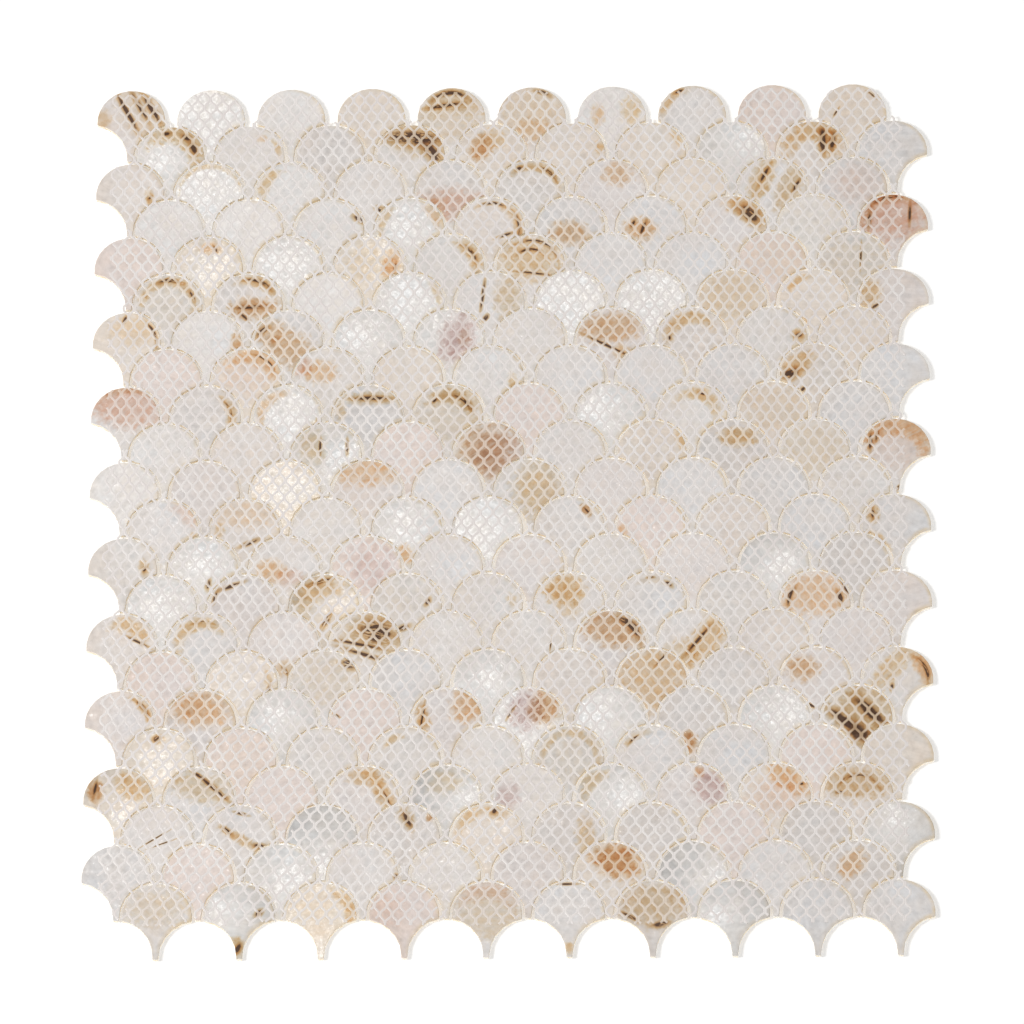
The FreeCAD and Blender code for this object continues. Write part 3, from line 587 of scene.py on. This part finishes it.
def shell_figure(tree):
    """The shell itself: cloudy white, with faint growth lines across each chip in a direction of its own."""
    place = add_node(tree, "Attribute", attribute_name="chip_place").outputs["Vector"]
    place_parts = add_node(tree, "SeparateXYZ", {0: place})
    x_mm, y_mm = place_parts.outputs[0], place_parts.outputs[1]
    flat = add_node(tree, "CombineXYZ", {0: x_mm, 1: y_mm})

    # Clouds of 9 mm, a mottle of 2 mm, and growth lines 1.6 mm apart and about 14 mm long.
    clouds = add_node(tree, "TexNoise", {"Vector": place, "Scale": 0.11, "Detail": 3, "Roughness": 0.5})
    mottle = add_node(tree, "TexNoise", {"Vector": place, "Scale": 0.45, "Detail": 4, "Roughness": 0.6})
    growth = add_node(tree, "Attribute", attribute_name="growth").outputs["Vector"]
    growth_parts = add_node(tree, "SeparateXYZ", {0: growth})
    laid = add_node(tree, "VectorRotate", {"Vector": place, "Angle": growth_parts}, rotation_type="Z_AXIS")
    bowed = add_node(tree, "VectorMath", {0: laid, 1: (0.07, 0.62, 1)}, operation="MULTIPLY")
    growth_lines = add_node(tree, "TexNoise", {"Vector": bowed, "Scale": 1, "Detail": 3, "Roughness": 0.55,
                                               "Distortion": 0.4})

    tint = add_node(tree, "Attribute", attribute_name="nacre_tint").outputs["Vector"]
    warm_or_cool = add_node(tree, "ValToRGB", {0: clouds}, [(0.32, "#fcf2e9"), (0.68, "#f7f7f8")])
    clouded = add_node(tree, "Mix", {0: 0.75, 6: tint, 7: warm_or_cool}, data_type="RGBA",
                       blend_type="MULTIPLY")
    line_tone = add_node(tree, "MapRange", {0: growth_lines, 1: 0.3, 2: 0.7, 3: 0.93, 4: 1.05})
    colour = add_node(tree, "VectorMath", {0: clouded.outputs[2], 1: line_tone}, operation="MULTIPLY")
    return place, flat, mottle, growth_lines, growth_parts.outputs, colour


def leaning_layers(tree, place, flat, share=1.0):
    """The normal of the layers of nacre, which lie nearly flat, but lean, curve and wave a little in each
    chip. share is how much of that is left."""
    facing = add_node(tree, "NewGeometry").outputs["Normal"]
    lean = add_node(tree, "Attribute", attribute_name="nacre_lean").outputs["Vector"]
    lean_parts = add_node(tree, "SeparateXYZ", {0: lean})
    slope = add_node(tree, "VectorMath", {0: lean, 1: (1, 1, 0)}, operation="MULTIPLY")
    bend = add_node(tree, "VectorMath", {0: flat, 3: lean_parts.outputs[2]}, operation="SCALE")
    slope = add_node(tree, "VectorMath", {0: slope, 1: bend}, operation="SUBTRACT")
    # Waves of 2 mm break the gleam up into small glints.
    waves = add_node(tree, "TexNoise", {"Vector": place, "Scale": 0.5, "Detail": 2, "Roughness": 0.6})
    waves = add_node(tree, "VectorMath", {0: waves.outputs["Color"], 1: (0.5, 0.5, 0.5)}, operation="SUBTRACT")
    waves = add_node(tree, "VectorMath", {0: waves, 1: (1.1, 1.1, 0)}, operation="MULTIPLY")
    slope = add_node(tree, "VectorMath", {0: slope, 1: waves}, operation="ADD")
    slope = add_node(tree, "VectorMath", {0: slope, 3: share}, operation="SCALE")
    up_or_down = add_node(tree, "SeparateXYZ", {0: facing}).outputs[2]
    slope = add_node(tree, "VectorMath", {0: slope, 3: up_or_down}, operation="SCALE")
    layers = add_node(tree, "VectorMath", {0: facing, 1: slope}, operation="ADD")
    return add_node(tree, "VectorMath", {0: layers}, operation="NORMALIZE")


def soak(tree, colour, skin, amount):
    """A colour with a layer of stain over it, which is deeper in hue where it is thicker."""
    skin, kept = add_node(tree, "SeparateXYZ", {0: skin}), add_node(tree, "CombineXYZ")
    for part in range(3):
        through = add_node(tree, "Math", {0: skin.outputs[part], 1: amount}, operation="POWER")
        tree.links.new(through.outputs[0], kept.inputs[part])
    return add_node(tree, "VectorMath", {0: colour, 1: kept}, operation="MULTIPLY")


# Mother-of-pearl, its back ground flat and satin: cloudy white with a breath of pink, cream or blue,
# faint growth lines, and amber to dark brown where the grinding has left some of the outer skin.
# Layers of nacre that lean towards the lamp gleam through the satin.
nacre, tree = new_material("mother_of_pearl_ground_satin")
place, flat, mottle, growth_lines, growth, colour = shell_figure(tree)
place_parts = add_node(tree, "SeparateXYZ", {0: place})
x_mm, y_mm, chip_seed = place_parts.outputs
from_top = add_node(tree, "Math", {0: x_mm, 1: y_mm}, operation="ARCTAN2")
arc_length = add_node(tree, "Math", {0: from_top, 1: ARC_RADIUS}, operation="MULTIPLY")
radius = add_node(tree, "VectorMath", {0: flat}, operation="LENGTH").outputs["Value"]
bent = add_node(tree, "CombineXYZ", {0: arc_length, 1: radius})

# A warm band just inside the rims. It is partly the amber skin left there and partly painted shade: the band is
# made much stronger on the right of each chip, the side away from the lamp. The rim is the dome, and below
# DOME_FOOT, where the dome is put FAR away, the two bites.
DOME_FOOT, FAR = -1.2, 20.0
below_dome = add_node(tree, "Math", {0: y_mm, 1: DOME_FOOT}, operation="LESS_THAN")
dome_edge = add_node(tree, "Math", {0: DOME_RADIUS, 1: radius}, operation="SUBTRACT")
dome_edge = add_node(tree, "Math", {0: below_dome, 1: FAR, 2: dome_edge}, operation="MULTIPLY_ADD")
from_side = add_node(tree, "Math", {0: x_mm}, operation="ABSOLUTE")
bite_way = add_node(tree, "CombineXYZ", {0: from_side, 1: y_mm})
bite_way = add_node(tree, "VectorMath", {0: bite_way, 1: (CHIP_PITCH / 2, -ROW_PITCH, 0)}, operation="SUBTRACT")
bite_way = add_node(tree, "VectorMath", {0: bite_way}, operation="LENGTH").outputs["Value"]
bite_edge = add_node(tree, "Math", {0: bite_way, 1: BITE_RADIUS}, operation="SUBTRACT")
edge_mm = add_node(tree, "Math", {0: dome_edge, 1: bite_edge}, operation="MINIMUM")
rim_skin_and_shade = add_node(tree, "MapRange", {0: edge_mm, 1: 0.2, 2: 1.7, 3: 1, 4: 0},
                      interpolation_type="SMOOTHSTEP")
patchy = add_node(tree, "MapRange", {0: mottle, 1: 0.36, 2: 0.58, 3: 0.35, 4: 0.9})
# Painted shade: the rim band is kept weak on the left of each chip and made strong on its right, away from the
# lamp.
shade_away_from_lamp = add_node(tree, "MapRange", {0: x_mm, 1: -3, 2: 6, 3: 0.15, 4: 1})
for share in (patchy, growth[1], shade_away_from_lamp):
    rim_skin_and_shade = add_node(tree, "Math", {0: rim_skin_and_shade, 1: share}, operation="MULTIPLY")
rimmed = add_node(tree, "Mix", {0: rim_skin_and_shade, 6: colour, 7: (*to_linear("#dec8a4"), 1)}, data_type="RGBA")
colour = rimmed.outputs[2]

# The stains, each with the growth lines and the mottle of its chip in it.
skins = []
for slot in ("stain_1", "stain_2"):
    local, reach = mark_local(tree, slot, flat, bent)
    mask = mark_mask(tree, local, reach, mottle, roughness=1.5, solid=0.5, empty=1.55)
    figure = add_node(tree, "MapRange", {0: growth_lines, 1: 0.35, 2: 0.62, 3: 0.6, 4: 1.15})
    blotches = add_node(tree, "MapRange", {0: mottle, 1: 0.38, 2: 0.62, 3: 1.2, 4: 0.8})
    strength = add_node(tree, "SeparateXYZ", {0: reach}).outputs[2]
    for share in (figure, blotches, strength):
        mask = add_node(tree, "Math", {0: mask, 1: share}, operation="MULTIPLY")
    skins.append(mask)
    skin = add_node(tree, "Attribute", attribute_name=slot + "_tint").outputs["Vector"]
    colour = soak(tree, colour, skin, mask)

# The dark growth lines: broken strands, 0.7 mm wide and 3 mm long, in a light brown halo.
for slot in ("streak_1", "streak_2", "streak_3"):
    local, reach = mark_local(tree, slot, flat, bent)
    mask = mark_mask(tree, local, reach, mottle, roughness=0.7, solid=0.6, empty=1.1)
    drawn = add_node(tree, "VectorMath", {0: local, 1: (0.30, 1.5, 1)}, operation="MULTIPLY")
    moved = add_node(tree, "CombineXYZ", {2: chip_seed})
    drawn = add_node(tree, "VectorMath", {0: drawn, 1: moved}, operation="ADD")
    strands = add_node(tree, "TexNoise", {"Vector": drawn, "Scale": 1, "Detail": 3, "Roughness": 0.55})
    cover = add_node(tree, "SeparateXYZ", {0: reach}).outputs[2]
    level = add_node(tree, "Math", {0: cover, 1: -0.42, 2: 0.70}, operation="MULTIPLY_ADD")
    above = add_node(tree, "Math", {0: strands, 1: level}, operation="SUBTRACT")
    halo = add_node(tree, "MapRange", {0: above, 1: -0.16, 2: 0.03, 3: 0, 4: 0.85},
                    interpolation_type="SMOOTHSTEP")
    wide_mask = mark_mask(tree, local, reach, mottle, roughness=0.7, solid=0.6, empty=2.0)
    halo = add_node(tree, "Math", {0: halo, 1: wide_mask}, operation="MULTIPLY")
    colour = soak(tree, colour, to_linear("#d6b07a"), halo)
    dashes = add_node(tree, "MapRange", {0: above, 1: 0, 2: 0.05, 3: 0, 4: 1}, interpolation_type="SMOOTHSTEP")
    dark = add_node(tree, "Math", {0: mask, 1: dashes}, operation="MULTIPLY")
    skins.append(dark)
    brown = add_node(tree, "ValToRGB", {0: dark}, [(0, "#9a6a38"), (1, "#4b2e15")])
    colour = add_node(tree, "Mix", {0: dark, 6: colour, 7: brown}, data_type="RGBA").outputs[2]

# The satin of the grinding, duller where skin is left, under a thin gloss with ripples of 1.2 mm, which
# gives the gleam its glints.
layers = leaning_layers(tree, place, flat)
ground = add_node(tree, "Bump", {"Strength": 0.6, "Distance": 0.03 * MM, "Height": mottle, "Normal": layers})
satin = add_node(tree, "MapRange", {0: mottle, 1: 0.3, 2: 0.7, 3: 0.34, 4: 0.46})
for skin in skins:
    satin = add_node(tree, "Math", {0: skin, 1: 0.25, 2: satin}, operation="MULTIPLY_ADD", use_clamp=True)
ripples = add_node(tree, "TexNoise", {"Vector": place, "Scale": 0.85, "Detail": 1})
film = add_node(tree, "Bump", {"Strength": 1, "Distance": 0.25 * MM, "Height": ripples, "Normal": layers})
shell = add_node(tree, "BsdfPrincipled", {"Base Color": colour, "Roughness": satin, "IOR": 1.56,
                                          "Normal": ground, "Coat Weight": 0.22, "Coat Roughness": 0.14,
                                          "Coat Normal": film})
add_node(tree, "OutputMaterial", {"Surface": shell})

# The face that is laid to be seen, which is underneath here: the same shell, cut down past its skin and
# polished. It is clean, and its thin layers give it a glassy shine with a breath of colour in it.
polished, tree = new_material("mother_of_pearl_polished")
place, flat, mottle, growth_lines, growth, colour = shell_figure(tree)
lustre = add_node(tree, "BsdfPrincipled", {"Base Color": colour, "Roughness": 0.16, "IOR": 1.56,
                                           "Normal": leaning_layers(tree, place, flat, share=0.4),
                                           "Thin Film Thickness": 380, "Thin Film IOR": 1.68})
add_node(tree, "OutputMaterial", {"Surface": lustre})

# The sawn edges between the chips: matt, cut across the layers in patches of 3 mm, and warm from the
# light that spreads in the shell.
sawn, tree = new_material("mother_of_pearl_sawn_edge")
place = add_node(tree, "Attribute", attribute_name="chip_place").outputs["Vector"]
patches = add_node(tree, "TexNoise", {"Vector": place, "Scale": 0.35, "Detail": 3})
edge_colour = add_node(tree, "ValToRGB", {0: patches}, [(0.38, "#f0e6d7"), (0.62, "#e4d4ba")])
cut = add_node(tree, "BsdfPrincipled", {"Base Color": edge_colour, "Roughness": 0.6, "IOR": 1.5,
                                        "Subsurface Weight": 1, "Subsurface Scale": 2.5 * MM,
                                        "Subsurface Radius": (1, 0.95, 0.9)})
add_node(tree, "OutputMaterial", {"Surface": cut})

# The ground back and the polished face have their broken edges with them. The rest is sawn.
for material in (nacre, sawn, polished):
    pattern_chip.data.materials.append(material)
for face in pattern_chip.data.polygons:
    if face.normal.z < 0.3:
        face.material_index = 1 if face.normal.z > -0.3 else 2

for row in range(1, ROW_COUNT + 1):
    chance = random.Random(500 + row)
    select_only([lay_chip(row, number, chance) for number in range(1, CHIPS_PER_ROW + 1)])
    bpy.ops.object.join()
    laid_row = bpy.context.object
    laid_row.name = laid_row.data.name = f"fish_scale_chips_{row:02d}"
    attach(laid_row, "root")
    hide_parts(f"chip_row_{row:02d}")
bpy.data.objects.remove(pattern_chip)


# The net: a soft white hexagonal knit of fine yarn, laid over the backs of the chips and glued down.
# Each yarn runs down the sheet in waves and is knitted to the yarn on its left and on its right in turn.
# It was cut from the roll a little smaller than the sheet, and it was pulled askew where it was pasted.
YARN_SPACING = 2.03
YARN_WIDTH = 0.79
YARN_HEIGHT = 0.14
WAVE_LENGTH = 6.1
WAVE_REACH = 0.84
WAVE = np.array([1.0, 0.90, 0.0, -0.90, -1.0, -0.90, 0.0, 0.90])
NET_LEFT, NET_RIGHT = -134.75, 131.75
NET_FOOT, NET_HEAD = -143.75, 153.75
# How far the yarns go beyond the net, which is cut after it is pulled askew.
SPARE_LEFT, SPARE_WIDTH = 5, 60
# How far by chance a yarn lies off its place, and each of its points.
YARN_OFF, POINT_OFF = 0.05, 0.03
# The most points with which a yarn bridges a joint, and the fewest that a piece of yarn may have.
LONGEST_BRIDGE, SHORTEST_PIECE = 3, 3
# How much of a stain's colour comes up through the yarn, and the colour that dark lines have there.
SHOWS_THROUGH, LINE_BELOW = 0.33, "#9c7a55"


def pulled_askew(x, y):
    """How far the net has been drawn sideways at a place, in millimetres: most at the foot, on the left."""
    half_width, half_length = 140, 155
    u, v = x / half_width, y / half_length
    drawn = half_length * (1 - u) / 2 * (0.07 * v - 0.08 * v * v)
    return drawn + 0.8 * np.sin(x / 31 + 1.3) * np.sin(y / 43 + 0.5) + 0.35 * np.sin(x / 11 + y / 17)


def chip_below(x, y):
    """The number of the chip under each place, and 0 where there is none."""
    below = np.zeros(x.shape, int)
    for row in range(1, ROW_COUNT + 1):
        for number in range(1, CHIPS_PER_ROW + 1):
            middle_x, middle_y = dome_middle(row, number)
            side, down = np.abs(x - middle_x), y - middle_y
            body = (down < 0) & (down > -STEM_REACH) & (side < CHIP_PITCH / 2)
            body &= (down > -ROW_PITCH) | (side < STEM_WIDTH / 2)
            on_chip = (np.hypot(side, down) < DOME_RADIUS) | body
            on_chip &= np.hypot(side - CHIP_PITCH / 2, down + ROW_PITCH) > BITE_RADIUS
            below[on_chip] = (row - 1) * CHIPS_PER_ROW + number
    return below


def show_through(mesh):
    """Tells the yarn's material how the stains under each point tint it, for the glue has made it clear."""
    points = np.array([v.co for v in mesh.vertices]) / MM
    kept = np.ones((len(points), 3))
    below = chip_below(points[:, 0], points[:, 1])
    for (row, number), marks in MARKED.items():
        here = np.flatnonzero(below == (row - 1) * CHIPS_PER_ROW + number)
        dome_x, dome_y = dome_middle(row, number)
        x, y = points[here, 0] - dome_x, points[here, 1] - dome_y
        for kind, (middle_x, middle_y, turn), (length, width, strength), colour in marks:
            u, v = (np.arctan2(x, y) * ARC_RADIUS, np.hypot(x, y)) if length < 0 else (x, y)
            u, v = u - middle_x, v - middle_y
            along, across = u * cos(turn) + v * sin(turn), v * cos(turn) - u * sin(turn)
            reach = np.hypot(along / length, across / width)
            amount = strength * np.clip(1.5 - reach, 0, 1)[:, None]
            skin = to_linear(SKIN_COLOURS[colour] if kind == "stain" else LINE_BELOW)
            kept[here] *= np.power(np.array(skin), SHOWS_THROUGH * amount)
    tint = mesh.attributes.new("stain_below", "FLOAT_VECTOR", "POINT")
    tint.data.foreach_set("vector", kept.astype(np.float32).ravel())


section = bpy.data.curves.new("yarn_section", "CURVE")
section.dimensions = "2D"
corners = section.splines.new("POLY")
corners.points.add(2)
for point, (side, height) in zip(corners.points, [(-0.5, 0), (0.5, 0), (0, 1)]):
    point.co = (side * YARN_WIDTH * MM, height * YARN_HEIGHT * MM, 0, 1)
corners.use_cyclic_u = True
section_object = new_object("yarn_section", section)

# White yarn, made clear and shiny by glue in patches of 18 mm, so that the stains below tint it. Its real
# twist of half a millimetre is too fine to show, so it is drawn as coarse as it needs to show, at 3 mm.
yarn, tree = new_material("white_knitted_yarn_glued")
object_place = add_node(tree, "TexCoord").outputs["Object"]
twist_place = add_node(tree, "VectorMath", {0: object_place, 1: (900, 520, 900)}, operation="MULTIPLY")
twist = add_node(tree, "TexWave", {"Vector": twist_place, "Scale": 0.35, "Distortion": 1.5, "Detail": 1},
                 bands_direction="DIAGONAL")
glue = add_node(tree, "TexNoise", {"Vector": object_place, "Scale": 55, "Detail": 3})
yarn_colour = add_node(tree, "ValToRGB", {0: glue}, [(0.35, "#e8e0dc"), (0.65, "#f0eae6")])
relief = add_node(tree, "Bump", {"Strength": 0.4, "Distance": 0.04 * MM, "Height": twist.outputs["Fac"]})
stain_below = add_node(tree, "Attribute", attribute_name="stain_below").outputs["Vector"]
tinted = add_node(tree, "VectorMath", {0: yarn_colour, 1: stain_below}, operation="MULTIPLY")
soft_yarn = add_node(tree, "BsdfPrincipled", {"Base Color": tinted, "Roughness": 0.5, "Normal": relief,
                                              "Coat Weight": 0.25, "Coat Roughness": 0.2})
add_node(tree, "OutputMaterial", {"Surface": soft_yarn})

chance = random.Random(77)
yarn_count = int((NET_RIGHT - NET_LEFT + SPARE_WIDTH) / YARN_SPACING)
steps_down = int((NET_HEAD - NET_FOOT) / WAVE_LENGTH * len(WAVE)) + 1
steps = np.arange(steps_down)
for every_second, name in enumerate(("net_yarns_left", "net_yarns_right")):
    curve = bpy.data.curves.new("net_yarns", "CURVE")
    curve.dimensions = "3D"
    curve.twist_mode = "Z_UP"
    curve.bevel_mode = "OBJECT"
    curve.bevel_object = section_object
    curve.use_fill_caps = True
    # The two sets wave against each other.
    wave = WAVE[(steps + (0 if every_second else len(WAVE) // 2)) % len(WAVE)] * WAVE_REACH
    for number in range(every_second, yarn_count, 2):
        start_x = NET_LEFT - SPARE_LEFT + (number + 0.5) * YARN_SPACING
        x = start_x + chance.gauss(0, YARN_OFF) + wave
        x = x + np.array([chance.gauss(0, POINT_OFF) for _ in steps])
        y = NET_HEAD - steps * WAVE_LENGTH / len(WAVE)
        askew_x = x + pulled_askew(x, y)
        askew_y = y + 0.5 * np.sin(x / 27) + 0.3 * np.sin(x / 9 + y / 23)
        below = chip_below(askew_x, askew_y)
        below[(askew_x < NET_LEFT) | (askew_x > NET_RIGHT) | (askew_y < NET_FOOT) | (askew_y > NET_HEAD)] = 0
        kept = below > 0
        for step in np.flatnonzero(kept[:-1] & ~kept[1:]):
            beyond_joint = np.flatnonzero(below[step + 1:step + 2 + LONGEST_BRIDGE])
            if len(beyond_joint) and below[step + 1 + beyond_joint[0]] != below[step]:
                kept[step + 1:step + 1 + beyond_joint[0]] = True
        ends = np.flatnonzero(np.diff(np.concatenate(([0], kept, [0]))))
        for begin, end in zip(ends[::2], ends[1::2]):
            if end - begin >= SHORTEST_PIECE:
                piece = curve.splines.new("POLY")
                piece.points.add(int(end - begin) - 1)
                for point, at in zip(piece.points, range(begin, end)):
                    point.co = (askew_x[at] * MM, askew_y[at] * MM, CHIP_THICKNESS * MM, 1)
                piece.use_smooth = True
    select_only([new_object(name, curve)])
    bpy.ops.object.convert(target="MESH")
    net = bpy.context.object
    net.name = net.data.name = name
    bpy.ops.object.mode_set(mode="EDIT")
    bpy.ops.mesh.select_all(action="SELECT")
    bpy.ops.mesh.remove_doubles(threshold=0.001 * MM)
    bpy.ops.mesh.normals_make_consistent(inside=False)
    bpy.ops.object.mode_set(mode="OBJECT")
    bpy.ops.object.shade_smooth_by_angle(angle=radians(60))
    show_through(net.data)
    net.data.materials.clear()
    net.data.materials.append(yarn)
    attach(net, "root")
    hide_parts("backing_net")
bpy.data.objects.remove(section_object)
